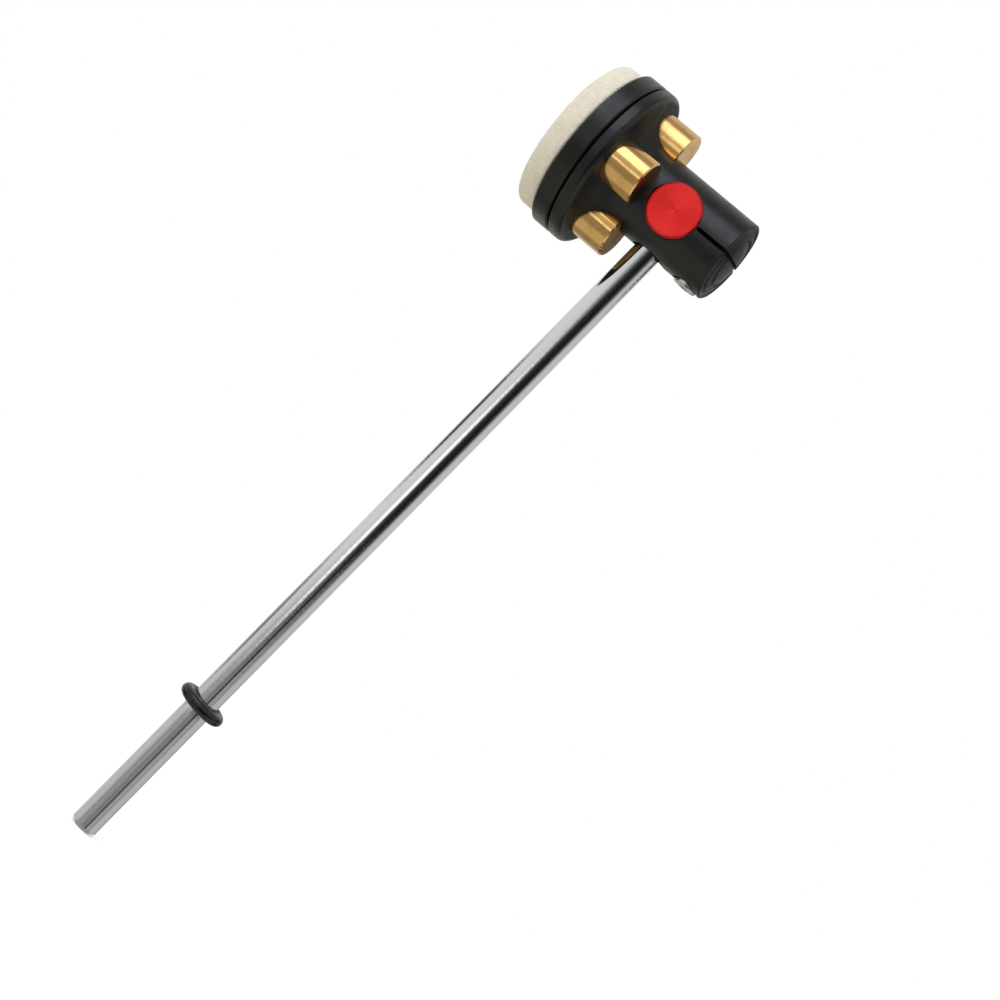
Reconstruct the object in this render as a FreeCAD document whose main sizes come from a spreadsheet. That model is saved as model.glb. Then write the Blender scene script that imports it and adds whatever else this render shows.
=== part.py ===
import FreeCAD, Part
import Sketcher
import math
import os

# Bass drum beater: a chromed shaft, a split head that tilts on a cross barrel, weights and a felt face.
# The shaft runs up +Z from the lower edge of its clamped stretch, and the face strikes towards -Y.
# Pieces of the head are drawn about the barrel's centre, with the hub's rear towards +Y, and then
# raised to the barrel and tilted together.

# Driving sizes, in millimetres and degrees
SIZES = {
    # shaft
    "clamp_dia": 8.0,
    "clamp_length": 41.0,
    "tail_chamfer": 1.0,
    "polish_run": 6.0,
    "polish_depth": 0.02,
    "barrel_height": 226.3,
    "shoulder_drop": 4.5,
    "spigot_dia": 6.0,
    "spigot_length": 8.0,
    "spigot_chamfer": 0.6,
    # memory ring
    "ring_height": 45.1,
    "ring_section": 3.35,
    "ring_lean": 4.7,
    "ring_heading": 65.0,
    # pivot barrel
    "barrel_dia": 15.4,
    "barrel_length": 24.6,
    "barrel_chamfer": 0.6,
    "dimple_dia": 1.6,
    "dimple_depth": 0.15,
    "hole_spare": 0.5,
    # head body
    "head_tilt": 3.3,
    "tilt_limit": 6.0,
    "head_dia": 49.2,
    "front_depth": 24.9,
    "rim_length": 4.15,
    "rim_round": 1.9,
    "front_edge": 0.3,
    "back_land": 0.85,
    "hub_dia": 24.7,
    "hub_back": 17.95,
    "hub_edge": 0.4,
    "outer_groove_inset": 1.8,
    "inner_groove_inset": 4.75,
    "groove_half": 0.8,
    "groove_depth": 0.55,
    "groove_step": 0.15,
    "edge_band_rise": 0.1,
    "ring_band_rise": 0.35,
    "dome_rise": 0.75,
    "clamp_slot": 1.15,
    "clamp_slot_rise": 0.3,
    # clamp screw, its washer and its insert
    "screw_back": 13.0,
    "screw_dia": 4.0,
    "screw_length": 16.0,
    "screw_head_dia": 7.2,
    "screw_head_height": 3.6,
    "screw_proud": 0.65,
    "screw_head_round": 0.6,
    "socket_width": 3.0,
    "socket_depth": 2.0,
    "washer_dia": 8.0,
    "washer_thickness": 0.5,
    "clamp_insert_dia": 5.6,
    "clamp_insert_length": 7.0,
    # weights
    "weight_core": 7.2,
    "weight_wall": 3.9,
    "weight_length": 14.6,
    "weight_depth": 10.0,
    "weight_chamfer": 0.4,
    # face
    "holder_thickness": 5.4,
    "holder_edge": 0.4,
    "parting_gap": 0.6,
    "land_inset": 2.2,
    "recess_depth": 2.0,
    "holder_wall": 2.2,
    "felt_bulge": 0.6,
    "felt_bulge_run": 0.9,
    "felt_proud": 6.85,
    "felt_crown": 0.6,
    "felt_round": 1.8,
    "adhesive_thickness": 0.25,
    "adhesive_margin": 1.0,
    "stud_dia": 6.0,
    "stud_reach": 9.4,
    "flange_dia": 12.0,
    "flange_thickness": 1.5,
    "face_insert_dia": 9.0,
    "face_insert_length": 10.0,
    # clearances
    "running_gap": 0.05,
    "ring_gap": 0.08,
    "seat_gap": 0.05,
    "slot_gap": 0.3,
    "screw_gap": 0.3,
    "counterbore_gap": 0.25,
    "insert_sink": 0.25,
    "bore_spare": 0.8,
    "cut_spare": 2.0,
}

# Sizes and places that follow from them, as formulas of the sheet
FOLLOWING = {
    # shaft
    "clamp_radius": "clamp_dia / 2",
    "tail_radius": "clamp_radius - tail_chamfer",
    "tail_tip": "-tail_chamfer",
    "polish_start": "clamp_length + polish_run",
    "shaft_radius": "clamp_radius - polish_depth",
    "shoulder_height": "barrel_height - shoulder_drop",
    "spigot_radius": "spigot_dia / 2",
    "spigot_tip_radius": "spigot_radius - spigot_chamfer",
    "spigot_top": "shoulder_height + spigot_length",
    "spigot_edge": "spigot_top - spigot_chamfer",
    # memory ring
    "ring_tube": "ring_section / 2",
    "ring_middle": "clamp_radius + ring_gap + ring_tube",
    # pivot barrel
    "barrel_radius": "barrel_dia / 2",
    "barrel_end": "barrel_length / 2",
    "barrel_edge": "barrel_end - barrel_chamfer",
    "barrel_face_radius": "barrel_radius - barrel_chamfer",
    "dimple_radius": "dimple_dia / 2",
    "dimple_floor": "barrel_end - dimple_depth",
    "thread_radius": "spigot_radius + seat_gap",
    "thread_top": "spigot_length - shoulder_drop + hole_spare",
    "seat_radius": "shaft_radius + seat_gap",
    "barrel_cut": "barrel_radius + cut_spare",
    # head body, by its radius and its place along the hub
    "head_radius": "head_dia / 2",
    "hub_radius": "hub_dia / 2",
    "front_place": "-front_depth",
    "rim_place": "rim_length - front_depth",
    "front_edge_radius": "head_radius - front_edge",
    "front_edge_place": "front_place + front_edge",
    "flare_round": "head_radius - hub_radius - rim_round - back_land",
    "hub_edge_place": "hub_back - hub_edge",
    "hub_edge_radius": "hub_radius - hub_edge",
    "outer_groove_radius": "hub_radius - outer_groove_inset",
    "outer_groove_outside": "outer_groove_radius + groove_half",
    "outer_groove_inside": "outer_groove_radius - groove_half",
    "inner_groove_radius": "hub_radius - inner_groove_inset",
    "inner_groove_outside": "inner_groove_radius + groove_half",
    "inner_groove_inside": "inner_groove_radius - groove_half",
    "outer_groove_low": "hub_back + edge_band_rise",
    "outer_groove_floor": "outer_groove_low - groove_depth",
    "outer_groove_high": "outer_groove_low + groove_step",
    "inner_groove_low": "outer_groove_high + ring_band_rise",
    "inner_groove_floor": "inner_groove_low - groove_depth",
    "inner_groove_high": "inner_groove_low + groove_step",
    "hub_end": "inner_groove_high + dome_rise",
    "pivot_bore_radius": "barrel_radius + running_gap",
    "shaft_slot_radius": "clamp_radius + slot_gap",
    "shaft_slot_reach": "hub_radius * tan(tilt_limit * 1 deg)",
    "clamp_slot_low": "clamp_slot_rise - clamp_slot / 2",
    "clamp_slot_high": "clamp_slot_rise + clamp_slot / 2",
    "clamp_slot_end": "hub_end + cut_spare",
    # clamp screw, its washer and its insert, by their radius and height
    "screw_radius": "screw_dia / 2",
    "screw_head_radius": "screw_head_dia / 2",
    "screw_face": "-(hub_radius + screw_proud)",
    "screw_seat": "screw_face + screw_head_height",
    "screw_tip": "screw_seat + screw_length",
    "socket_flat": "socket_width / 2",
    "socket_corner": "socket_width / sqrt(3)",
    "socket_half_corner": "socket_corner / 2",
    "washer_radius": "washer_dia / 2",
    "washer_bore_radius": "screw_radius + screw_gap",
    "washer_low": "screw_seat + running_gap",
    "washer_high": "washer_low + washer_thickness",
    "counterbore_radius": "washer_radius + counterbore_gap",
    "counterbore_depth": "-washer_high",
    "clamp_insert_radius": "clamp_insert_dia / 2",
    "clamp_insert_bore": "screw_radius + running_gap",
    "clamp_insert_low": "clamp_slot_high + insert_sink",
    "clamp_insert_high": "clamp_insert_low + clamp_insert_length",
    "clamp_pocket_radius": "clamp_insert_radius + seat_gap",
    "clamp_pocket_top": "max(clamp_insert_high; screw_tip) + bore_spare",
    # weights
    "weight_radius": "(head_radius - weight_wall - weight_core) / 2",
    "weight_place": "weight_core + weight_radius",
    "weight_bore_radius": "weight_radius + seat_gap",
    # face, by its radius and its place along the hub
    "holder_back": "front_place - parting_gap",
    "holder_front": "holder_back - holder_thickness",
    "holder_edge_radius": "head_radius - holder_edge",
    "holder_front_edge": "holder_front + holder_edge",
    "holder_back_edge": "holder_back - holder_edge",
    "land_radius": "head_radius - land_inset",
    "felt_radius": "head_radius - holder_wall",
    "recess_radius": "felt_radius + seat_gap",
    "recess_floor": "holder_front + recess_depth",
    "felt_back": "recess_floor - adhesive_thickness",
    "felt_lip": "holder_front - seat_gap",
    "felt_bulge_place": "felt_lip - felt_bulge_run",
    "felt_bulge_radius": "felt_radius + felt_bulge",
    "felt_front": "holder_front - felt_proud",
    "felt_crown_place": "felt_front - felt_crown",
    "adhesive_radius": "felt_radius - adhesive_margin",
    "stud_radius": "stud_dia / 2",
    "stud_end": "front_place + stud_reach",
    "stud_hole_radius": "stud_radius + seat_gap",
    "flange_radius": "flange_dia / 2",
    "flange_pocket_radius": "flange_radius + seat_gap",
    "flange_back": "recess_floor + flange_thickness",
    "face_insert_radius": "face_insert_dia / 2",
    "face_insert_bore": "stud_radius + running_gap",
    "face_insert_front": "front_place + insert_sink",
    "face_insert_back": "face_insert_front + face_insert_length",
    "face_pocket_radius": "face_insert_radius + seat_gap",
    "face_pocket_depth": "max(insert_sink + face_insert_length; stud_reach) + bore_spare",
}

FULL_TURN = 360
THROUGH = 1

document = FreeCAD.newDocument("bass_drum_beater")
sheet = document.addObject("Spreadsheet::Sheet", "dims")


def fill_sheet():
    """Write one row for each size: its name, its value or formula, and an alias to bind to."""
    rows = [(name, str(value)) for name, value in SIZES.items()]
    rows += [(name, "=" + formula) for name, formula in FOLLOWING.items()]
    for row, (name, content) in enumerate(rows, start=1):
        sheet.set("A%d" % row, name)
        sheet.set("B%d" % row, content)
        sheet.setAlias("B%d" % row, name)
    document.recompute()


def value_of(cell):
    """A sheet value by its name; a leading minus gives its opposite, and "0" is the axis itself."""
    if cell == "0":
        return 0.0
    size = float(sheet.get(cell.lstrip("-")))
    return -size if cell.startswith("-") else size


def bound_to(cell):
    """The same value as an expression that stays tied to the sheet."""
    if cell == "0":
        return "0"
    return "-dims." + cell[1:] if cell.startswith("-") else "dims." + cell


def new_body(label):
    body = document.addObject("PartDesign::Body", label)
    body.Label = label
    return body


def new_sketch(body, name, plane, offset):
    """A sketch on one of the body's own planes, moved by sheet values along the sketch's own axes."""
    sketch = body.newObject("Sketcher::SketchObject", name + "_sketch")
    support = next(item for item in body.Origin.OriginFeatures if item.Role == plane)
    sketch.AttachmentSupport = (support, [""])
    sketch.MapMode = "FlatFace"
    for axis, cell in offset.items():
        sketch.setExpression("AttachmentOffset.Base." + axis, bound_to(cell))
    return sketch


def pin_point(sketch, item, end, corner):
    """Tie an end of a line, or a circle's centre, to a pair of sheet values."""
    for kind, cell in zip(("DistanceX", "DistanceY"), corner):
        index = sketch.addConstraint(Sketcher.Constraint(kind, -1, 1, item, end, value_of(cell)))
        sketch.setExpression("Constraints[%d]" % index, bound_to(cell))


def bind_radius(sketch, item, cell):
    index = sketch.addConstraint(Sketcher.Constraint("Radius", item, value_of(cell)))
    sketch.setExpression("Constraints[%d]" % index, bound_to(cell))


def crown_arc(start, end):
    """An arc centred on the turning axis, from a point beside it to a point on it."""
    rise = end.y - start.y
    radius = (start.x ** 2 + rise ** 2) / (2 * rise)
    centre = FreeCAD.Vector(0, end.y - radius, 0)
    half = (start - centre) + (end - centre)
    middle = centre + half * (abs(radius) / half.Length)
    return Part.Arc(start, middle, end)


def draw_outline(sketch, corners, crown=None):
    """Close straight sides through the corners; the side that starts at the crown corner is a crown arc."""
    points = [FreeCAD.Vector(value_of(across), value_of(along), 0) for across, along in corners]
    following = points[1:] + points[:1]
    ends = []
    for number, (start, end) in enumerate(zip(points, following)):
        if corners[number] == crown:
            sketch.addGeometry(crown_arc(start, end))
            runs_forward = sketch.getPoint(number, 1).distanceToPoint(start) < 1e-6
            ends.append((1, 2) if runs_forward else (2, 1))
        else:
            sketch.addGeometry(Part.LineSegment(start, end))
            ends.append((1, 2))
    for number, corner in enumerate(corners):
        after = (number + 1) % len(corners)
        sketch.addConstraint(
            Sketcher.Constraint("Coincident", number, ends[number][1], after, ends[after][0])
        )
        pin_point(sketch, number, ends[number][0], corner)
    if crown is not None:
        sketch.addConstraint(Sketcher.Constraint("PointOnObject", corners.index(crown), 3, -2))


def draw_circles(sketch, centres, radius):
    for number, centre in enumerate(centres):
        place = FreeCAD.Vector(value_of(centre[0]), value_of(centre[1]), 0)
        sketch.addGeometry(Part.Circle(place, FreeCAD.Vector(0, 0, 1), value_of(radius)))
        bind_radius(sketch, number, radius)
        pin_point(sketch, number, 3, centre)


def draw_slot(sketch, reach, radius):
    """A slot along the sketch's upright axis: two half circles joined by straight sides."""
    far = value_of(reach)
    wide = value_of(radius)
    for centre, first in ((far, 0), (-far, math.pi)):
        circle = Part.Circle(FreeCAD.Vector(0, centre, 0), FreeCAD.Vector(0, 0, 1), wide)
        sketch.addGeometry(Part.ArcOfCircle(circle, first, first + math.pi))
    for side in (-wide, wide):
        low = FreeCAD.Vector(side, -far, 0)
        high = FreeCAD.Vector(side, far, 0)
        sketch.addGeometry(Part.LineSegment(high, low) if side < 0 else Part.LineSegment(low, high))
    for first, end, second, start in ((0, 2, 2, 1), (2, 2, 1, 1), (1, 2, 3, 1), (3, 2, 0, 1)):
        sketch.addConstraint(Sketcher.Constraint("Tangent", first, end, second, start))
    bind_radius(sketch, 0, radius)
    bind_radius(sketch, 1, radius)
    pin_point(sketch, 0, 3, ("0", reach))
    pin_point(sketch, 1, 3, ("0", "-" + reach))


def spun(body, name, sketch, axis="V_Axis", cut=False):
    """Turn a sketch about one of its own axes, to add to the body or to cut from it."""
    feature = body.newObject("PartDesign::Groove" if cut else "PartDesign::Revolution", name)
    feature.Profile = sketch
    feature.ReferenceAxis = (sketch, [axis])
    feature.Angle = FULL_TURN
    return feature


def turned(body, name, plane, corners, axis="V_Axis", offset={}, crown=None, cut=False):
    """Draw an outline on one of the body's planes and turn it."""
    sketch = new_sketch(body, name, plane, offset)
    draw_outline(sketch, corners, crown)
    return spun(body, name, sketch, axis, cut)


def pocket(body, name, sketch, depth=None, backwards=False, both_ways=False):
    """Cut a sketch's shape to a depth, or right out of the body, and make sure that it took material."""
    document.recompute()
    before = body.Shape.Volume
    feature = body.newObject("PartDesign::Pocket", name)
    feature.Profile = sketch
    feature.Reversed = backwards
    if both_ways:
        feature.SideType = "Symmetric"
    if depth is None:
        feature.Type = THROUGH
    else:
        feature.setExpression("Length", bound_to(depth))
    document.recompute()
    if not body.Shape.Volume < before:
        raise ValueError(name + " cut nothing")
    return feature


def drilled(body, name, plane, centres, radius, offset={}, **direction):
    sketch = new_sketch(body, name, plane, offset)
    draw_circles(sketch, centres, radius)
    return pocket(body, name, sketch, **direction)


def round_edges(feature):
    """The name and the circle of each round edge; the point where a crown meets its axis is passed over."""
    edges = enumerate(feature.Shape.Edges, start=1)
    real = [("Edge%d" % number, edge.Curve) for number, edge in edges if not edge.Degenerated]
    return [(name, curve) for name, curve in real if isinstance(curve, Part.Circle)]


def ring_edges(feature, radius, place):
    """Names of the round edges that have one radius and lie at one place along the Y axis."""
    return [
        name
        for name, circle in round_edges(feature)
        if abs(circle.Radius - radius) < 1e-4 and abs(circle.Center.y - place) < 1e-4
    ]


def softened(body, name, kind, base, edges, cell):
    """A fillet or chamfer on a feature's named edges."""
    feature = body.newObject("PartDesign::" + kind, name)
    feature.Base = (base, edges)
    feature.setExpression("Radius" if kind == "Fillet" else "Size", bound_to(cell))
    document.recompute()
    return feature


def place_on_shaft(body):
    body.setExpression("Placement.Base.z", bound_to("barrel_height"))


def place_on_head(body):
    """Raise a piece to the barrel and tilt it about the barrel's axis with the rest of the head."""
    body.Placement = FreeCAD.Placement(FreeCAD.Vector(), FreeCAD.Rotation(FreeCAD.Vector(1, 0, 0), 1))
    body.setExpression("Placement.Base.z", bound_to("barrel_height"))
    body.setExpression("Placement.Rotation.Angle", bound_to("head_tilt") + " * 1 deg")


def ring_outline(inside, outside, low, high):
    """The corners of a plain ring's section."""
    return [(inside, low), (outside, low), (outside, high), (inside, high)]


def make_shaft():
    """A round rod: clamped stretch with a chamfered tail, polished stretch, and a spigot for the barrel."""
    body = new_body("shaft")
    turned(body, "rod", "XZ_Plane", [
        ("0", "tail_tip"),
        ("tail_radius", "tail_tip"),
        ("clamp_radius", "0"),
        ("clamp_radius", "clamp_length"),
        ("shaft_radius", "polish_start"),
        ("shaft_radius", "shoulder_height"),
        ("spigot_radius", "shoulder_height"),
        ("spigot_radius", "spigot_edge"),
        ("spigot_tip_radius", "spigot_top"),
        ("0", "spigot_top"),
    ])
    return body


def make_memory_ring():
    """A ring of round section, which leans a little towards its heading round the shaft."""
    body = new_body("memory_ring")
    sketch = new_sketch(body, "section", "XZ_Plane", {})
    draw_circles(sketch, [("ring_middle", "0")], "ring_tube")
    spun(body, "ring", sketch)
    heading = math.radians(value_of("ring_heading"))
    lean_axis = FreeCAD.Vector(-math.sin(heading), math.cos(heading), 0)
    body.Placement = FreeCAD.Placement(FreeCAD.Vector(), FreeCAD.Rotation(lean_axis, 1))
    body.setExpression("Placement.Base.z", bound_to("ring_height"))
    body.setExpression("Placement.Rotation.Angle", bound_to("ring_lean") + " * 1 deg")
    return body


def make_pivot_barrel():
    """A turned barrel with a dimple in each end and a seat below for the shaft and its spigot."""
    body = new_body("pivot_barrel")
    turned(body, "barrel", "XZ_Plane", [
        ("-dimple_floor", "0"),
        ("-barrel_end", "dimple_radius"),
        ("-barrel_end", "barrel_face_radius"),
        ("-barrel_edge", "barrel_radius"),
        ("barrel_edge", "barrel_radius"),
        ("barrel_end", "barrel_face_radius"),
        ("barrel_end", "dimple_radius"),
        ("dimple_floor", "0"),
    ], axis="H_Axis")
    turned(body, "shaft_seat", "XZ_Plane", [
        ("0", "thread_top"),
        ("thread_radius", "thread_top"),
        ("thread_radius", "-shoulder_drop"),
        ("seat_radius", "-shoulder_drop"),
        ("seat_radius", "-barrel_cut"),
        ("0", "-barrel_cut"),
    ], cut=True)
    place_on_shaft(body)
    return body


def make_head_body():
    """The moulded disc, flare and hub, with its bores, the shaft's slot and the clamp's slot."""
    body = new_body("head_body")
    form = turned(body, "disc_and_hub", "XY_Plane", [
        ("0", "front_place"),
        ("front_edge_radius", "front_place"),
        ("head_radius", "front_edge_place"),
        ("head_radius", "rim_place"),
        ("hub_radius", "rim_place"),
        ("hub_radius", "hub_edge_place"),
        ("hub_edge_radius", "hub_back"),
        ("outer_groove_outside", "outer_groove_low"),
        ("outer_groove_radius", "outer_groove_floor"),
        ("outer_groove_inside", "outer_groove_high"),
        ("inner_groove_outside", "inner_groove_low"),
        ("inner_groove_radius", "inner_groove_floor"),
        ("inner_groove_inside", "inner_groove_high"),
        ("0", "hub_end"),
    ], crown=("inner_groove_inside", "inner_groove_high"))
    document.recompute()
    rim = ring_edges(form, value_of("head_radius"), value_of("rim_place"))
    form = softened(body, "rim_back_round", "Fillet", form, rim, "rim_round")
    root = ring_edges(form, value_of("hub_radius"), value_of("rim_place"))
    softened(body, "flare_root_round", "Fillet", form, root, "flare_round")
    weights = [("weight_place", "0"), ("0", "weight_place"), ("-weight_place", "0"), ("0", "-weight_place")]
    drilled(body, "weight_bores", "XZ_Plane", weights, "weight_bore_radius",
            offset={"z": "weight_depth"}, backwards=True)
    drilled(body, "face_insert_pocket", "XZ_Plane", [("0", "0")], "face_pocket_radius",
            offset={"z": "front_depth"}, depth="face_pocket_depth")
    drilled(body, "pivot_bore", "YZ_Plane", [("0", "0")], "pivot_bore_radius", both_ways=True)
    shaft_slot = new_sketch(body, "shaft_slot", "XY_Plane", {})
    draw_slot(shaft_slot, "shaft_slot_reach", "shaft_slot_radius")
    pocket(body, "shaft_slot", shaft_slot)
    clamp_slot = new_sketch(body, "clamp_slot", "YZ_Plane", {})
    draw_outline(clamp_slot, [
        ("0", "clamp_slot_low"),
        ("clamp_slot_end", "clamp_slot_low"),
        ("clamp_slot_end", "clamp_slot_high"),
        ("0", "clamp_slot_high"),
    ])
    pocket(body, "clamp_slot", clamp_slot, both_ways=True)
    at_screw = [("0", "screw_back")]
    drilled(body, "screw_hole", "XY_Plane", at_screw, "washer_bore_radius")
    drilled(body, "screw_counterbore", "XY_Plane", at_screw, "counterbore_radius",
            offset={"z": "-counterbore_depth"})
    drilled(body, "clamp_insert_pocket", "XY_Plane", at_screw, "clamp_pocket_radius",
            depth="clamp_pocket_top", backwards=True)
    place_on_head(body)
    return body


def make_clamp_screw():
    """A socket-head screw that stands head down in the lower jaw."""
    body = new_body("clamp_screw")
    blank = turned(body, "screw_blank", "YZ_Plane", [
        ("0", "screw_face"),
        ("screw_head_radius", "screw_face"),
        ("screw_head_radius", "screw_seat"),
        ("screw_radius", "screw_seat"),
        ("screw_radius", "screw_tip"),
        ("0", "screw_tip"),
    ], offset={"x": "screw_back"})
    document.recompute()
    face = value_of("screw_face")
    rim = [name for name, circle in round_edges(blank) if abs(circle.Center.z - face) < 1e-4]
    softened(body, "head_round", "Fillet", blank, rim, "screw_head_round")
    socket = new_sketch(body, "socket", "XY_Plane", {"y": "screw_back", "z": "screw_face"})
    draw_outline(socket, [
        ("socket_corner", "0"),
        ("socket_half_corner", "socket_flat"),
        ("-socket_half_corner", "socket_flat"),
        ("-socket_corner", "0"),
        ("-socket_half_corner", "-socket_flat"),
        ("socket_half_corner", "-socket_flat"),
    ])
    pocket(body, "socket", socket, depth="socket_depth", backwards=True)
    place_on_head(body)
    return body


def make_clamp_washer():
    body = new_body("clamp_washer")
    section = ring_outline("washer_bore_radius", "washer_radius", "washer_low", "washer_high")
    turned(body, "washer", "YZ_Plane", section, offset={"x": "screw_back"})
    place_on_head(body)
    return body


def make_clamp_insert():
    body = new_body("clamp_insert")
    section = ring_outline(
        "clamp_insert_bore", "clamp_insert_radius", "clamp_insert_low", "clamp_insert_high"
    )
    turned(body, "insert", "YZ_Plane", section, offset={"x": "screw_back"})
    place_on_head(body)
    return body


def make_face_holder():
    """The front disc: a recess for the felt, a pocket for the stud's flange, and a land on the body."""
    body = new_body("face_holder")
    turned(body, "holder", "XY_Plane", [
        ("stud_hole_radius", "flange_back"),
        ("flange_pocket_radius", "flange_back"),
        ("flange_pocket_radius", "recess_floor"),
        ("recess_radius", "recess_floor"),
        ("recess_radius", "holder_front"),
        ("holder_edge_radius", "holder_front"),
        ("head_radius", "holder_front_edge"),
        ("head_radius", "holder_back_edge"),
        ("holder_edge_radius", "holder_back"),
        ("land_radius", "holder_back"),
        ("land_radius", "front_place"),
        ("stud_hole_radius", "front_place"),
    ])
    place_on_head(body)
    return body


def make_felt_pad():
    """The striking pad: straight in its recess, swelling past the lip, with a round edge and a crown."""
    body = new_body("felt_pad")
    pad = turned(body, "pad", "XY_Plane", [
        ("0", "felt_back"),
        ("felt_radius", "felt_back"),
        ("felt_radius", "felt_lip"),
        ("felt_bulge_radius", "felt_bulge_place"),
        ("felt_bulge_radius", "felt_front"),
        ("0", "felt_crown_place"),
    ], crown=("felt_bulge_radius", "felt_front"))
    document.recompute()
    edge = ring_edges(pad, value_of("felt_bulge_radius"), value_of("felt_front"))
    softened(body, "pad_edge_round", "Fillet", pad, edge, "felt_round")
    place_on_head(body)
    return body


def make_felt_adhesive():
    body = new_body("felt_adhesive")
    turned(body, "adhesive", "XY_Plane", ring_outline("0", "adhesive_radius", "felt_back", "recess_floor"))
    place_on_head(body)
    return body


def make_face_stud():
    """A flanged stud whose flange lies under the felt and whose end screws into the head."""
    body = new_body("face_stud")
    turned(body, "stud", "XY_Plane", [
        ("0", "recess_floor"),
        ("flange_radius", "recess_floor"),
        ("flange_radius", "flange_back"),
        ("stud_radius", "flange_back"),
        ("stud_radius", "stud_end"),
        ("0", "stud_end"),
    ])
    place_on_head(body)
    return body


def make_face_insert():
    body = new_body("face_insert")
    section = ring_outline("face_insert_bore", "face_insert_radius", "face_insert_front", "face_insert_back")
    turned(body, "insert_sleeve", "XY_Plane", section)
    place_on_head(body)
    return body


def make_weight(label, centre):
    """One weight: a plain turned slug with a small chamfer at each end, loaded from the front."""
    body = new_body(label)
    sketch = new_sketch(body, "slug", "XZ_Plane", {"z": "weight_depth"})
    draw_circles(sketch, [centre], "weight_radius")
    slug = body.newObject("PartDesign::Pad", "slug")
    slug.Profile = sketch
    slug.setExpression("Length", bound_to("weight_length"))
    document.recompute()
    ends = [name for name, circle in round_edges(slug)]
    softened(body, "slug_chamfers", "Chamfer", slug, ends, "weight_chamfer")
    place_on_head(body)
    return body


WEIGHTS = {
    "weight_near": ("weight_place", "0"),
    "weight_top": ("0", "weight_place"),
    "weight_far": ("-weight_place", "0"),
    "weight_bottom": ("0", "-weight_place"),
}

fill_sheet()
pieces = [
    make_shaft(),
    make_memory_ring(),
    make_pivot_barrel(),
    make_head_body(),
    make_clamp_screw(),
    make_clamp_washer(),
    make_clamp_insert(),
    make_face_holder(),
    make_felt_pad(),
    make_felt_adhesive(),
    make_face_stud(),
    make_face_insert(),
]
pieces += [make_weight(label, centre) for label, centre in WEIGHTS.items()]
document.recompute()

for item in document.Objects:
    if "Invalid" in item.State or "Error" in item.State:
        raise ValueError(item.Name + " failed: " + ", ".join(item.State))
for piece in pieces:
    if piece.Shape.isNull() or not piece.Shape.isValid() or len(piece.Shape.Solids) != 1:
        raise ValueError(piece.Label + " is not one valid solid")

os.makedirs("parts", exist_ok=True)
for piece in pieces:
    piece.Shape.exportStep("parts/" + piece.Label + ".step")
    print(piece.Label, "volume", round(piece.Shape.Volume, 1))
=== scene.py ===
import math

import bpy
from mathutils import Matrix, Vector, noise


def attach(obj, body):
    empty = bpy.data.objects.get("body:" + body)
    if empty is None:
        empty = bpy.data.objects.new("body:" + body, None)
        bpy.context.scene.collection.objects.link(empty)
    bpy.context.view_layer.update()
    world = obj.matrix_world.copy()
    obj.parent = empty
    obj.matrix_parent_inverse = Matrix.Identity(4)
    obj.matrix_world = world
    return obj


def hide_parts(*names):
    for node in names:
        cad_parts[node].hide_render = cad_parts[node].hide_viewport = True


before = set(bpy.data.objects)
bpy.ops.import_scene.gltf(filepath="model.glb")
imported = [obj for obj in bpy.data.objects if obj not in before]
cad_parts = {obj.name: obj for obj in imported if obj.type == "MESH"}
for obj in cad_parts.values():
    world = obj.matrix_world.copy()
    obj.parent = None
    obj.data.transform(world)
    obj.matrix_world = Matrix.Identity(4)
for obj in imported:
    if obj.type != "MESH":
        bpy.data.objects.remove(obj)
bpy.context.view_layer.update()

MM = 0.001
WHITE = (1.0, 1.0, 1.0, 1.0)
COOL_WHITE = (0.93, 1.0, 1.17)
WARM_SHADE = (1.0, 0.99, 0.89, 1.0)

# The head is drawn about the barrel's centre with its hub along Y, then raised and tilted
BARREL_HEIGHT = 226.3 * MM
HEAD_TILT = math.radians(3.3)
HEAD_PLACE = Matrix.Translation((0, 0, BARREL_HEIGHT)) @ Matrix.Rotation(HEAD_TILT, 4, "X")

# The way the hub points, away from the felt, and the point of the head that the lamp faces
HUB_AXIS = HEAD_PLACE.to_3x3() @ Vector((0, 1, 0))
HEAD_MIDDLE = HEAD_PLACE @ Vector((0, -8 * MM, 0))

# Where the moulding turns matt: the radii of the flare's root and rim, and the place of the hub's end
FLARE_ROOT = (12.6 * MM, 13.6 * MM)
FLARE_RIM = (22.6 * MM, 24.0 * MM)
HUB_END = (17.4 * MM, 18.0 * MM)

# The clamp's slot, below and above the barrel's centre, the width of the bands at its lips that are
# painted darker as shade and made rougher as sawn, and its start
SLOT_LOW = -0.275 * MM
SLOT_HIGH = 0.875 * MM
SLOT_EDGE = 0.04 * MM
SLOT_START = (7.0 * MM, 8.0 * MM)

# How far each weight's axis lies from the hub's
WEIGHT_REACH = 13.95 * MM

# The flat of the barrel's end face, inside its chamfer, and the part of its length that the hub covers,
# which bound the painted shade on the chamfer and inside the hub
BARREL_FACE_RADIUS = 7.1 * MM
BARREL_COVERED = (11.2 * MM, 11.6 * MM)

# The upper end of the shaft's clamped stretch, and the tail's tip
CLAMP_END = 41.0 * MM
TAIL_TIP = -1.0 * MM

# Felt pad, by radius and place along the hub
FELT_RADIUS = 22.4 * MM
FELT_BULGE_RADIUS = 23.0 * MM
FELT_BACK = -29.15 * MM
FELT_LIP = -30.95 * MM
FELT_BULGE_PLACE = -31.85 * MM
FELT_FRONT = -37.75 * MM
FELT_APEX = -38.35 * MM
FELT_BACK_ROUND = 0.4 * MM
FELT_EDGE_ROUND = 1.8 * MM

# The felt's unevenness in millimetres: size and height of its lumps, and how far all of it draws in
FELT_LUMPS = [(7.0, 0.10), (2.2, 0.05), (0.8, 0.025)]
FELT_DRAWN_IN = 0.06

# The unevenness grows from nothing at the holder's lip to its full height this far out
FELT_FREE = 0.8 * MM

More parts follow.
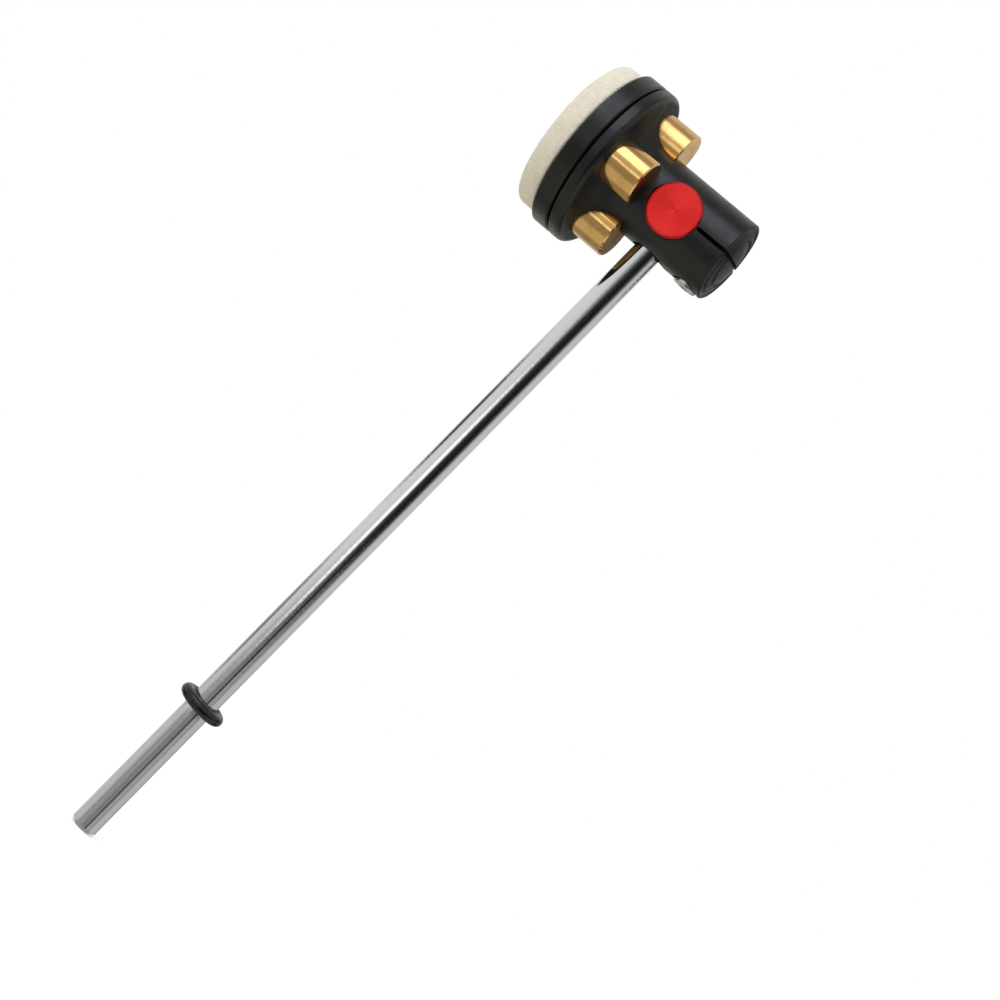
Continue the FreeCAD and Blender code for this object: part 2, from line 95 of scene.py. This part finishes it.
# Faces round the felt, and steps along each stretch of its section
FELT_AROUND = 288
FELT_STEPS = {
    "back": 14,
    "back edge": 4,
    "held side": 4,
    "bulge": 6,
    "side": 12,
    "front edge": 14,
    "crown": 60,
}

# The camera of the photograph
EYE = Vector((779.39, 190.0, 152.93)) * MM
LOOK = Vector((-0.97657, -0.2146, -0.01626)).normalized()
IMAGE_RIGHT = Vector((-0.16403, 0.69328, 0.70175))
LENS = 108.24
SENSOR = 36.0

# Level directions from the object: towards the camera, and to the side that its right hand shows
CAMERA_SIDE = Vector((-LOOK.x, -LOOK.y, 0)).normalized()
RIGHT_SIDE = Vector((0, 0, 1)).cross(CAMERA_SIDE)

# The key light's soft box: heading and height in degrees, then metres, and its brightness
KEY_DIRECTION = (-36, 45)
KEY_DISTANCE = 0.8
KEY_WIDTH = 0.56
KEY_RADIANCE = 1.45

# The floor: its radius and sides, its gap under the tail, and the distances over which it fades to white
FLOOR_RADIUS = 1.6
FLOOR_SIDES = 96
FLOOR_GAP = 0.05 * MM
FLOOR_FADE = (0.25, 0.6)

# How much the floor is lightened where the camera sees it
FLOOR_LIFT = 0.3

# Grey levels of the studio's walls by heading: seen level, a little below level and well below level
LEVEL_WALLS = [
    (-180, 0.74), (-160, 0.74), (-60, 0.75), (-35, 0.66), (-23, 0.54), (-11, 0.27), (0, 0.07),
    (11, 0.03), (29, 0.01), (47, 0.014), (60, 0.1), (67, 0.27), (75, 0.5), (84, 0.59), (100, 0.62),
    (118, 0.6), (132, 0.56), (150, 0.68), (180, 0.74),
]
LOW_WALLS = [
    (-180, 0.6), (-160, 0.62), (-75, 0.58), (-60, 0.43), (-49, 0.29), (-34, 0.35), (-20, 0.34),
    (-6, 0.22), (0, 0.21), (10, 0.29), (17, 0.2), (23.5, 0.05), (28, 0.11), (36, 0.33), (47, 0.45),
    (60, 0.27), (70, 0.43), (85, 0.54), (120, 0.5), (150, 0.4), (180, 0.6),
]
GROUND_WALLS = [
    (-180, 0.6), (-158, 0.72), (-136, 0.62), (-122, 0.12), (-112, 0.03), (-98, 0.1), (-84, 0.6),
    (-62, 0.66), (-46, 0.36), (-8, 0.32), (8, 0.08), (22, 0.025), (36, 0.12), (52, 0.62), (76, 0.78),
    (100, 0.66), (116, 0.14), (128, 0.03), (140, 0.12), (156, 0.6), (180, 0.6),
]

# Soft marks on the walls: heading, height, half width and half height in degrees, and the level added
WALL_MARKS = [
    (-21, -2.0, 20, 5, 1.0),
    (-120, -5.4, 27, 2.2, -0.45),
    (-120, -0.2, 29, 2.3, -0.68),
    (23.5, -6, 6, 3.4, -0.06),
]
MARK_EDGE = (0.3, 1.1)

# Heights in degrees over which one stretch of the studio passes into the next, from the ground up
UNDERFOOT_TO_GROUND = (-46, -38)
GROUND_TO_LOW = (-13.5, -11)
LOW_TO_LEVEL = (-8.5, -2.5)
LEVEL_TO_SKY = (8, 18)
SKY_TO_CEILING = (63, 71)

# Grey levels of the stretches that have no walls, and the least level of all
UNDERFOOT_LEVEL = 0.58
UNDERFOOT_LOSS = 0.25
SKY_LEVEL = 0.66
CEILING_LEVEL = 0.36
LEAST_LEVEL = 0.012

# Headings, to either side, over which the ground underfoot darkens behind the object
BEHIND = (100, 140)

# Two dark flags: one by the rise and fall of its headings and heights, one as a soft mark
REAR_FLAG_HEADINGS = ((90, 112), (134, 145))
REAR_FLAG_HEIGHTS = ((2.6, 4.6), (22, 34))
REAR_FLAG_SHADE = 0.88
SIDE_FLAG = (76, 11, 36, 7.5)
SIDE_FLAG_SHADE = 0.9

# Light on surfaces that aren't glossy, stronger from the key light's side
FILL_LEVEL = 0.78
FILL_LEAN = 0.26

# Heights in degrees below which the studio's light is warmer
WARM_BELOW = (-25, -12)


class Wire:
    """A value in a node tree; Python's operators on it add Math nodes."""

    def __init__(self, nodes, socket):
        self.nodes = nodes
        self.socket = socket

    def __add__(self, other):
        return self.nodes.math("ADD", self, other)

    def __radd__(self, other):
        return self.nodes.math("ADD", other, self)

    def __sub__(self, other):
        return self.nodes.math("SUBTRACT", self, other)

    def __rsub__(self, other):
        return self.nodes.math("SUBTRACT", other, self)

    def __mul__(self, other):
        return self.nodes.math("MULTIPLY", self, other)

    def __rmul__(self, other):
        return self.nodes.math("MULTIPLY", other, self)

    def __truediv__(self, other):
        return self.nodes.math("DIVIDE", self, other)

    def __rtruediv__(self, other):
        return self.nodes.math("DIVIDE", other, self)


def set_stops(ramp, stops):
    """Fill a colour ramp with (place, grey level) pairs."""
    while len(ramp.elements) < len(stops):
        ramp.elements.new(0.5)
    for element, (place, level) in zip(ramp.elements, stops):
        element.position = place
        element.color = (level, level, level, 1.0)


class Nodes:
    """The nodes of one material, or of the world."""

    def __init__(self, tree):
        self.tree = tree
        tree.nodes.clear()

    def add(self, kind, settings=None, inputs=None, output=0):
        """One node: its settings first, then the values or links of its sockets."""
        node = self.tree.nodes.new(kind)
        for name, value in (settings or {}).items():
            if name == "stops":
                set_stops(node.color_ramp, value)
            else:
                setattr(node, name, value)
        for name, value in (inputs or {}).items():
            if isinstance(value, Wire):
                self.tree.links.new(value.socket, node.inputs[name])
            else:
                node.inputs[name].default_value = value
        return Wire(self, node.outputs[output]) if len(node.outputs) else None

    def math(self, operation, *values):
        return self.add("ShaderNodeMath", {"operation": operation}, dict(enumerate(values)))

    def vector(self, operation, *values, output=0, scale=None):
        inputs = dict(enumerate(values))
        if scale is not None:
            inputs["Scale"] = scale
        return self.add("ShaderNodeVectorMath", {"operation": operation}, inputs, output)

    def dot(self, first, second):
        return self.vector("DOT_PRODUCT", first, second, output="Value")

    def step(self, value, low, high):
        """0 up to low, 1 from high, and a smooth rise between them."""
        return self.add(
            "ShaderNodeMapRange",
            {"interpolation_type": "SMOOTHSTEP"},
            {"Value": value, "From Min": low, "From Max": high},
        )

    def band(self, value, rise, fall):
        """1 between a rise and a fall, each given by where it starts and ends."""
        return self.step(value, *rise) * (1 - self.step(value, *fall))

    def mix(self, factor, first, second):
        """A colour between two colours, by the numbers of a Mix node's colour sockets."""
        inputs = {0: factor, 6: first, 7: second}
        return self.add("ShaderNodeMix", {"data_type": "RGBA"}, inputs, 2)

    def place(self, frame_matrix=None):
        """Where a point lies on its piece, in the piece's own frame if one is given."""
        place = self.add("ShaderNodeTexCoord", output="Object")
        if frame_matrix is None:
            return place
        location, rotation, _ = frame_matrix.decompose()
        inputs = {"Vector": place, "Location": location, "Rotation": rotation.to_euler()}
        return self.add("ShaderNodeMapping", {"vector_type": "TEXTURE"}, inputs)

    def stretched(self, place, stretch):
        return self.vector("MULTIPLY", place, stretch)

    def noise(self, place, size, detail=2.0, rough=0.5):
        """Cloudy noise from 0 to 1, with features of about the given size in metres."""
        inputs = {"Vector": place, "Scale": 1 / size, "Detail": detail, "Roughness": rough}
        return self.add("ShaderNodeTexNoise", {"noise_dimensions": "3D"}, inputs)

    def grain(self, value, size, detail=2.0):
        """Noise along one value, such as a radius or a height."""
        inputs = {"W": value, "Scale": 1 / size, "Detail": detail}
        return self.add("ShaderNodeTexNoise", {"noise_dimensions": "1D"}, inputs)

    def bump(self, height, depth):
        return self.add("ShaderNodeBump", {}, {"Height": height, "Distance": depth})

    def parts_of(self, place):
        """The X, Y and Z of a place."""
        split = self.add("ShaderNodeSeparateXYZ", {}, {0: place})
        return [Wire(self, socket) for socket in split.socket.node.outputs]

    def radius(self, first, second):
        return self.math("SQRT", first * first + second * second)


class Finish(Nodes):
    """A new material and its nodes, which shade ends with one Principled shader."""

    def __init__(self, name):
        self.material = bpy.data.materials.new(name)
        self.material.use_nodes = True
        super().__init__(self.material.node_tree)

    def shade(self, sockets):
        shader = self.add("ShaderNodeBsdfPrincipled", {}, sockets)
        self.add("ShaderNodeOutputMaterial", {}, {"Surface": shader})
        return self.material


def dress(material, *nodes):
    """Give CAD nodes a finish in place of the one they were packed with."""
    for name in nodes:
        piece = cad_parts[name]
        piece.data.materials.clear()
        piece.data.materials.append(material)


def chrome():
    """Bright plate with a faint ripple and pits, scuffed where the pedal's clamp grips."""
    bright_plate = (0.80, 0.805, 0.815, 1)
    worn_plate = (0.74, 0.74, 0.74, 1)
    finish = Finish("chrome_plate")
    place = finish.place()
    _, _, height = finish.parts_of(place)
    gripped = 1 - finish.step(height, CLAMP_END - 1 * MM, CLAMP_END + 2 * MM)
    drawn = finish.noise(finish.stretched(place, (1, 1, 0.02)), 0.25 * MM, detail=3)
    scuffs = finish.noise(finish.stretched(place, (1, 1, 0.25)), 0.9 * MM, detail=4, rough=0.7)
    haze = finish.noise(place, 9 * MM, detail=3)
    ripple = finish.noise(place, 1.4 * MM, detail=2)
    pits = finish.step(finish.noise(place, 0.28 * MM, detail=1), 0.68, 0.76)
    worn = gripped * finish.step(scuffs, 0.45, 0.75)
    colour = finish.mix(worn, bright_plate, worn_plate)
    rough = 0.04 + haze * 0.03 + gripped * 0.015 + worn * 0.06 + pits * 0.22
    scratched = (drawn - 0.5) * (gripped * 0.25 + 0.04) + (scuffs - 0.5) * gripped * 0.12
    grooves = finish.bump(scratched + (ripple - 0.5) * 2.5, 0.004 * MM)
    return finish.shade({"Base Color": colour, "Metallic": 1.0, "Roughness": rough, "Normal": grooves})


def rubber():
    """Black rubber with fine pores and a bloom of dust."""
    clean_black = (0.0026, 0.0026, 0.0028, 1)
    dusty_black = (0.009, 0.009, 0.01, 1)
    finish = Finish("ring_rubber")
    place = finish.place()
    bloom = finish.noise(place, 2.5 * MM, detail=4, rough=0.6)
    pores = finish.noise(place, 0.12 * MM, detail=2)
    colour = finish.mix(finish.step(bloom, 0.45, 0.8), clean_black, dusty_black)
    rough = 0.17 + bloom * 0.16
    skin = finish.bump(pores * 0.6 + bloom, 0.012 * MM)
    return finish.shade({"Base Color": colour, "Roughness": rough, "Normal": skin})


def red_anodised():
    """Red anodised metal with lathe rings on the end faces; painted shade darkens the chamfer and the part
    inside the hub.
    """
    shaded_red = (0.78, 0.012, 0.011, 1)
    bright_red = (0.88, 0.021, 0.017, 1)
    chamfer_shade_red = (0.26, 0.006, 0.006, 1)
    inner_shade_red = (0.05, 0.002, 0.002, 1)
    finish = Finish("red_anodised")
    place = finish.place(Matrix.Translation((0, 0, BARREL_HEIGHT)))
    x, y, z = finish.parts_of(place)
    radius = finish.radius(y, z)
    rings = finish.grain(radius, 0.45 * MM, detail=3)
    broad_rings = finish.grain(radius, 1.3 * MM, detail=2)
    cloud = finish.noise(place, 5 * MM, detail=3)
    tone = finish.step(rings * 0.3 + broad_rings * 0.3 + cloud * 0.4, 0.3, 0.7)
    face_red = finish.mix(tone, shaded_red, bright_red)
    # Painted shade: the chamfer round the end face is darkened in the colour.
    edge = finish.step(radius, BARREL_FACE_RADIUS - 0.1 * MM, BARREL_FACE_RADIUS + 0.3 * MM)
    shown_red = finish.mix(edge * 0.75, face_red, chamfer_shade_red)
    # Painted shade: the part of the barrel inside the hub is a nearly black red in the colour.
    shade_inside_hub = 1 - finish.step(finish.math("ABSOLUTE", x), *BARREL_COVERED)
    colour = finish.mix(shade_inside_hub, shown_red, inner_shade_red)
    rough = 0.3 + rings * 0.06
    outward = finish.vector("NORMALIZE", finish.vector("MULTIPLY", place, (0, 1, 1)))
    tilt = (finish.grain(radius, 0.03 * MM, detail=0) - 0.5) * 1.5 + (rings - 0.5) * 0.12
    facing = finish.add("ShaderNodeNewGeometry", output="Normal")
    turned = finish.vector("ADD", facing, finish.vector("SCALE", outward, scale=tilt))
    cut = finish.vector("NORMALIZE", turned)
    return finish.shade({
        "Base Color": colour,
        "Metallic": 0.5,
        "Roughness": rough,
        "Specular IOR Level": 0.5,
        "Normal": cut,
    })


def black_moulding(name, shift):
    """Satin black plastic, finely grained, with faint handling marks, a matt flare, and a slot whose sawn
    faces are rougher and painted darker as shade.
    """
    clean_black = (0.0030, 0.0030, 0.0025, 1)
    handled_black = (0.0052, 0.0052, 0.0045, 1)
    slot_shade_black = (0.0012, 0.0012, 0.0012, 1)
    finish = Finish(name)
    on_head = finish.place(HEAD_PLACE)
    x, y, z = finish.parts_of(on_head)
    flare = finish.band(finish.radius(x, z), FLARE_ROOT, FLARE_RIM)
    matt = finish.math("MAXIMUM", flare, finish.step(y, *HUB_END) * 0.75)
    lower_edge = (SLOT_LOW - 2 * SLOT_EDGE, SLOT_LOW - SLOT_EDGE)
    upper_edge = (SLOT_HIGH + SLOT_EDGE, SLOT_HIGH + 2 * SLOT_EDGE)
    # Painted shade and sawn faces: the slot's faces and thin bands at its lips are darker in the colour
    # and rougher.
    sawn_and_shaded = finish.band(z, lower_edge, upper_edge) * finish.step(y, *SLOT_START)
    place = finish.vector("ADD", on_head, (shift, shift, shift))
    grain = finish.noise(place, 0.16 * MM, detail=3, rough=0.6)
    handling = finish.step(finish.noise(place, 4 * MM, detail=5, rough=0.7), 0.2, 0.8)
    moulded = finish.mix(handling, clean_black, handled_black)
    colour = finish.mix(sawn_and_shaded, moulded, slot_shade_black)
    rough = 0.19 + handling * 0.2 + matt * 0.26 + sawn_and_shaded * 0.3
    skin = finish.bump(grain, 0.02 * MM)
    return finish.shade({
        "Base Color": colour,
        "Roughness": rough,
        "Specular IOR Level": 0.42,
        "Normal": skin,
    })


def brass(name, dull, end_shade_strength):
    """Lacquered brass bar: fine lines along each slug, faced ends, and a rear end that can be painted dark
    brown as shade.
    """
    bright_brass = (0.85, 0.515, 0.178, 1)
    tarnished_brass = (0.64, 0.365, 0.106, 1)
    end_shade_brown = (0.085, 0.042, 0.004, 1)
    square_to_hub = (0.85, 0.97)
    finish = Finish(name)
    place = finish.place(HEAD_PLACE)
    x, _, z = finish.parts_of(place)
    wide = finish.math("ABSOLUTE", x)
    high = finish.math("ABSOLUTE", z)
    off_axis = finish.math("MAXIMUM", wide, high) - WEIGHT_REACH
    round_axis = finish.radius(off_axis, finish.math("MINIMUM", wide, high))
    facing = finish.add("ShaderNodeTexCoord", output="Normal")
    along = finish.dot(facing, HUB_AXIS)
    ends = finish.step(finish.math("ABSOLUTE", along), *square_to_hub)
    faced = finish.grain(round_axis, 0.3 * MM, detail=4)
    drawn = finish.noise(finish.stretched(place, (1, 0.03, 1)), 0.5 * MM, detail=3, rough=0.6)
    lines = drawn * (1 - ends) * 3.4 + faced * ends * 4
    cloud = finish.noise(place, 4 * MM, detail=4, rough=0.6)
    specks = finish.noise(place, 0.5 * MM, detail=3, rough=0.7)
    tarnish = finish.step(cloud * 0.7 + specks * 0.3, 0.42, 0.75)
    metal = finish.mix(tarnish, bright_brass, tarnished_brass)
    # Painted shade: the rear end turns dark brown, less metallic and rougher, by the given strength.
    painted_end_shade = finish.step(along, *square_to_hub) * end_shade_strength
    colour = finish.mix(painted_end_shade, metal, end_shade_brown)
    rough = dull + tarnish * 0.06 + ends * (0.03 + faced * 0.1) + painted_end_shade * 0.5
    cut = finish.bump(lines, 0.006 * MM)
    return finish.shade({
        "Base Color": colour,
        "Metallic": 1 - painted_end_shade * 1.15,
        "Roughness": rough,
        "Specular IOR Level": 0.5 * (1 - end_shade_strength),
        "Coat Weight": (1 - ends) * 0.6,
        "Coat Roughness": 0.12,
        "Normal": cut,
    })


def nickel():
    """Nickel plate on small steel pieces."""
    bright_nickel = (0.70, 0.69, 0.67, 1)
    dull_nickel = (0.55, 0.55, 0.54, 1)
    finish = Finish("nickel_plate")
    place = finish.place()
    cloud = finish.noise(place, 1.5 * MM, detail=4, rough=0.6)
    scratches = finish.noise(finish.stretched(place, (1, 1, 0.1)), 0.15 * MM, detail=2)
    colour = finish.mix(cloud, bright_nickel, dull_nickel)
    rough = 0.2 + cloud * 0.15
    marks = finish.bump(scratches, 0.008 * MM)
    return finish.shade({"Base Color": colour, "Metallic": 1.0, "Roughness": rough, "Normal": marks})


def glue():
    """A cured glue film, amber, with small bubbles."""
    amber = (0.62, 0.52, 0.30, 1)
    pale_amber = (0.72, 0.64, 0.44, 1)
    finish = Finish("glue_film")
    place = finish.place()
    cloud = finish.noise(place, 3 * MM, detail=3)
    bubbles = finish.noise(place, 0.4 * MM, detail=2)
    colour = finish.mix(cloud, amber, pale_amber)
    rough = 0.25 + cloud * 0.2
    film = finish.bump(bubbles, 0.05 * MM)
    return finish.shade({"Base Color": colour, "Roughness": rough, "Normal": film})


def wool_felt():
    """Cream wool felt: a mottle, pale loose strands, a few grey fibres and a matted surface."""
    shaded_cream = (0.75, 0.67, 0.50, 1)
    light_cream = (0.90, 0.845, 0.705, 1)
    pale_strand = (0.93, 0.89, 0.80, 1)
    grey_fibre = (0.42, 0.38, 0.31, 1)
    finish = Finish("wool_felt")
    place = finish.place(HEAD_PLACE)
    mottle = finish.step(finish.noise(place, 4 * MM, detail=4, rough=0.6), 0.3, 0.7)
    tufts = finish.step(finish.noise(place, 1.1 * MM, detail=4, rough=0.65), 0.25, 0.75)
    matting = finish.noise(finish.stretched(place, (1, 1.8, 1)), 0.25 * MM, detail=4, rough=0.7)
    curls = finish.math("ABSOLUTE", finish.noise(place, 1.3 * MM, detail=2, rough=0.6) - 0.5)
    strands = 1 - finish.step(curls, 0.006, 0.035)
    grey = finish.step(finish.noise(place, 2.2 * MM, detail=5, rough=0.7), 0.62, 0.78)
    tone = mottle * 0.4 + tufts * 0.3 + finish.step(matting, 0.3, 0.7) * 0.3
    cream = finish.mix(tone, shaded_cream, light_cream)
    wool = finish.mix(strands * 0.45, cream, pale_strand)
    colour = finish.mix(grey * 0.45, wool, grey_fibre)
    nap = finish.bump(matting * 0.7 + tufts + strands * 0.25, 0.16 * MM)
    return finish.shade({
        "Base Color": colour,
        "Roughness": 0.95,
        "Sheen Weight": 0.25,
        "Sheen Roughness": 0.5,
        "Specular IOR Level": 0.1,
        "Normal": nap,
    })


def new_object(name, data):
    """An object in the scene for a mesh, a lamp or a camera."""
    item = bpy.data.objects.new(name, data)
    bpy.context.scene.collection.objects.link(item)
    return item


def turns_round(sides):
    """Even turns round a full circle, in radians."""
    return [2 * math.pi * number / sides for number in range(sides)]


def shares(steps):
    """Even shares of a stretch, after its start and up to its end."""
    return [number / steps for number in range(1, steps + 1)]


def felt_outline():
    """Radius and place of the pad's section, from the back's centre round to the front's crown."""
    back_radius = FELT_RADIUS - FELT_BACK_ROUND
    side_start = FELT_BACK - FELT_BACK_ROUND
    bulge = FELT_BULGE_RADIUS - FELT_RADIUS
    side_end = FELT_FRONT + FELT_EDGE_ROUND
    front_radius = FELT_BULGE_RADIUS - FELT_EDGE_ROUND
    quarter = math.pi / 2
    outline = [(0.0, FELT_BACK)]
    for share in shares(FELT_STEPS["back"]):
        outline.append((back_radius * share, FELT_BACK))
    for share in shares(FELT_STEPS["back edge"]):
        outline.append((
            back_radius + FELT_BACK_ROUND * math.sin(quarter * share),
            side_start + FELT_BACK_ROUND * math.cos(quarter * share),
        ))
    for share in shares(FELT_STEPS["held side"]):
        outline.append((FELT_RADIUS, side_start + (FELT_LIP - side_start) * share))
    for share in shares(FELT_STEPS["bulge"]):
        eased = share * share * (3 - 2 * share)
        outline.append((FELT_RADIUS + bulge * eased, FELT_LIP + (FELT_BULGE_PLACE - FELT_LIP) * share))
    for share in shares(FELT_STEPS["side"]):
        outline.append((FELT_BULGE_RADIUS, FELT_BULGE_PLACE + (side_end - FELT_BULGE_PLACE) * share))
    for share in shares(FELT_STEPS["front edge"]):
        outline.append((
            front_radius + FELT_EDGE_ROUND * math.cos(quarter * share),
            side_end - FELT_EDGE_ROUND * math.sin(quarter * share),
        ))
    for share in shares(FELT_STEPS["crown"]):
        rise = 1 - (1 - share) ** 2
        outline.append((front_radius * (1 - share), FELT_FRONT + (FELT_APEX - FELT_FRONT) * rise))
    return outline


def felt_pad():
    """The striking pad: a crowned disc of pressed wool, uneven as felt is."""
    outline = felt_outline()
    rings = outline[1:-1]
    turns = turns_round(FELT_AROUND)
    points = [(0.0, outline[0][1], 0.0)]
    for radius, place in rings:
        points += [(radius * math.cos(turn), place, radius * math.sin(turn)) for turn in turns]
    points.append((0.0, outline[-1][1], 0.0))
    faces = []
    for number in range(FELT_AROUND):
        after = (number + 1) % FELT_AROUND
        faces.append((0, 1 + number, 1 + after))
        for ring in range(len(rings) - 1):
            low = 1 + ring * FELT_AROUND
            high = low + FELT_AROUND
            faces.append((low + number, high + number, high + after, low + after))
        last = 1 + (len(rings) - 1) * FELT_AROUND
        faces.append((last + number, len(points) - 1, last + after))
    mesh = bpy.data.meshes.new("felt_face")
    mesh.from_pydata(points, [], faces)
    mesh.update()
    normals = [vertex.normal.copy() for vertex in mesh.vertices]
    for vertex, normal in zip(mesh.vertices, normals):
        shown = min(1.0, max(0.0, (FELT_LIP - vertex.co.y) / FELT_FREE))
        spot = vertex.co / MM
        lumps = sum(noise.noise(spot / size) * height for size, height in FELT_LUMPS)
        vertex.co += normal * (lumps - FELT_DRAWN_IN) * shown * MM
    mesh.transform(HEAD_PLACE)
    for polygon in mesh.polygons:
        polygon.use_smooth = True
    return new_object("felt_face", mesh)


def build_camera():
    """A camera at the photograph's place, with the photograph's tilt."""
    back = -LOOK
    right = (IMAGE_RIGHT - back * IMAGE_RIGHT.dot(back)).normalized()
    up = back.cross(right)
    data = bpy.data.cameras.new("camera")
    data.sensor_width = SENSOR
    data.lens = LENS
    data.clip_start = 0.01
    data.clip_end = 20.0
    camera = new_object("camera", data)
    turned = Matrix((right, up, back)).transposed().to_4x4()
    camera.matrix_world = Matrix.Translation(EYE) @ turned
    bpy.context.scene.camera = camera


def direction_at(heading, height):
    """A direction by its heading from the camera's side and its height, in degrees."""
    turn = math.radians(heading)
    rise = math.radians(height)
    level = CAMERA_SIDE * math.cos(turn) + RIGHT_SIDE * math.sin(turn)
    return level * math.cos(rise) + Vector((0, 0, math.sin(rise)))


def build_world():
    """A pale studio: walls that differ by heading, two dark flags, a dim ceiling, white for the camera."""
    world = bpy.data.worlds.new("studio")
    world.use_nodes = True
    bpy.context.scene.world = world
    nodes = Nodes(world.node_tree)
    direction = nodes.add("ShaderNodeTexCoord", output="Generated")
    towards = nodes.dot(direction, CAMERA_SIDE)
    aside = nodes.dot(direction, RIGHT_SIDE)
    heading = nodes.math("ARCTAN2", aside, towards) * math.degrees(1)
    height = nodes.math("ARCSINE", nodes.dot(direction, (0, 0, 1))) * math.degrees(1)
    share = heading / 360 + 0.5

    def walls(levels):
        """The level of one row of walls, all the way round."""
        stops = [((angle + 180) / 360, level) for angle, level in levels]
        ramp = nodes.add("ShaderNodeValToRGB", {"stops": stops}, {"Fac": share})
        return nodes.add("ShaderNodeRGBToBW", {}, {0: ramp})

    def between(factor, first, second):
        """A level between two levels."""
        return first + (second - first) * factor

    def mark(at_heading, at_height, wide, tall):
        """1 inside a soft oval on the walls, and 0 away from it."""
        away = nodes.radius((heading - at_heading) / wide, (height - at_height) / tall)
        return 1 - nodes.step(away, *MARK_EDGE)

    level = between(nodes.step(height, *LOW_TO_LEVEL), walls(LOW_WALLS), walls(LEVEL_WALLS))
    for *place, added in WALL_MARKS:
        level = level + mark(*place) * added
    behind = nodes.step(nodes.math("ABSOLUTE", heading), *BEHIND)
    underfoot = UNDERFOOT_LEVEL - behind * UNDERFOOT_LOSS
    ground = between(nodes.step(height, *UNDERFOOT_TO_GROUND), underfoot, walls(GROUND_WALLS))
    level = between(nodes.step(height, *GROUND_TO_LOW), ground, level)
    sky = between(nodes.step(height, *SKY_TO_CEILING), SKY_LEVEL, CEILING_LEVEL)
    level = between(nodes.step(height, *LEVEL_TO_SKY), level, sky)
    rear_flag = nodes.band(heading, *REAR_FLAG_HEADINGS) * nodes.band(height, *REAR_FLAG_HEIGHTS)
    level = level * (1 - rear_flag * REAR_FLAG_SHADE) * (1 - mark(*SIDE_FLAG) * SIDE_FLAG_SHADE)
    level = nodes.math("MAXIMUM", level, LEAST_LEVEL)
    fill = nodes.dot(direction, direction_at(*KEY_DIRECTION)) * FILL_LEAN + FILL_LEVEL
    glossy = nodes.add("ShaderNodeLightPath", output="Is Glossy Ray")
    camera = nodes.add("ShaderNodeLightPath", output="Is Camera Ray")
    seen = between(camera, between(glossy, fill, level), 1.0)
    above = nodes.step(height, *WARM_BELOW)
    tint = nodes.mix(nodes.math("MAXIMUM", above, camera), WARM_SHADE, WHITE)
    back = nodes.add("ShaderNodeBackground", {}, {"Color": tint, "Strength": seen})
    nodes.add("ShaderNodeOutputWorld", {}, {"Surface": back})


def build_floor():
    """A pale floor under the tail; the camera sees it white, with the object's soft shadow."""
    warm_paint = (0.70, 0.685, 0.62, 1)
    white_paint = (0.88, 0.88, 0.88, 1)
    finish = Finish("studio_floor")
    x, y, _ = finish.parts_of(finish.place())
    far = finish.step(finish.radius(x, y), *FLOOR_FADE)
    camera = finish.add("ShaderNodeLightPath", output="Is Camera Ray")
    paint = finish.mix(camera, warm_paint, white_paint)
    pale = finish.add("ShaderNodeBsdfDiffuse", {}, {"Color": paint})
    lift = finish.add("ShaderNodeEmission", {}, {"Color": WHITE, "Strength": camera * FLOOR_LIFT})
    near = finish.add("ShaderNodeAddShader", {}, {0: pale, 1: lift})
    white = finish.add("ShaderNodeEmission", {}, {"Color": WHITE, "Strength": 1.0})
    seen = finish.add("ShaderNodeMixShader", {}, {0: camera * far, 1: near, 2: white})
    finish.add("ShaderNodeOutputMaterial", {}, {"Surface": seen})
    depth = TAIL_TIP - FLOOR_GAP
    turns = turns_round(FLOOR_SIDES)
    points = [(FLOOR_RADIUS * math.cos(turn), FLOOR_RADIUS * math.sin(turn), depth) for turn in turns]
    mesh = bpy.data.meshes.new("floor")
    mesh.from_pydata(points, [], [tuple(range(FLOOR_SIDES))])
    mesh.materials.append(finish.material)
    floor = new_object("floor", mesh)
    floor.visible_glossy = False


def build_key_box():
    """A square soft box that faces the head, by its brightness seen from there."""
    data = bpy.data.lights.new("key_box", "AREA")
    data.shape = "SQUARE"
    data.size = KEY_WIDTH
    data.energy = KEY_RADIANCE * math.pi * KEY_WIDTH * KEY_WIDTH
    data.color = COOL_WHITE
    lamp = new_object("key_box", data)
    outward = direction_at(*KEY_DIRECTION)
    lamp.location = HEAD_MIDDLE + outward * KEY_DISTANCE
    lamp.rotation_mode = "QUATERNION"
    lamp.rotation_quaternion = outward.to_track_quat("Z", "Y")


build_camera()
build_world()
build_floor()
build_key_box()

dress(chrome(), "shaft")
dress(rubber(), "memory_ring")
dress(red_anodised(), "pivot_barrel")
dress(black_moulding("head_black", shift=0.0), "head_body")
dress(black_moulding("holder_black", shift=0.37), "face_holder")
dress(brass("weight_brass", dull=0.13, end_shade_strength=0.0), "weight_near", "weight_far")
dress(brass("dull_weight_brass", dull=0.2, end_shade_strength=0.0), "weight_top")
# The bottom weight's rear end carries painted shade.
dress(brass("end_shaded_weight_brass", dull=0.1, end_shade_strength=0.75), "weight_bottom")
dress(brass("insert_brass", dull=0.26, end_shade_strength=0.0), "clamp_insert", "face_insert")
dress(nickel(), "clamp_screw", "clamp_washer", "face_stud")
dress(glue(), "felt_adhesive")

felt = felt_pad()
felt.data.materials.append(wool_felt())
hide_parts("felt_pad")
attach(felt, "face")

bpy.context.scene.view_settings.view_transform = "Standard"
bpy.context.view_layer.update()
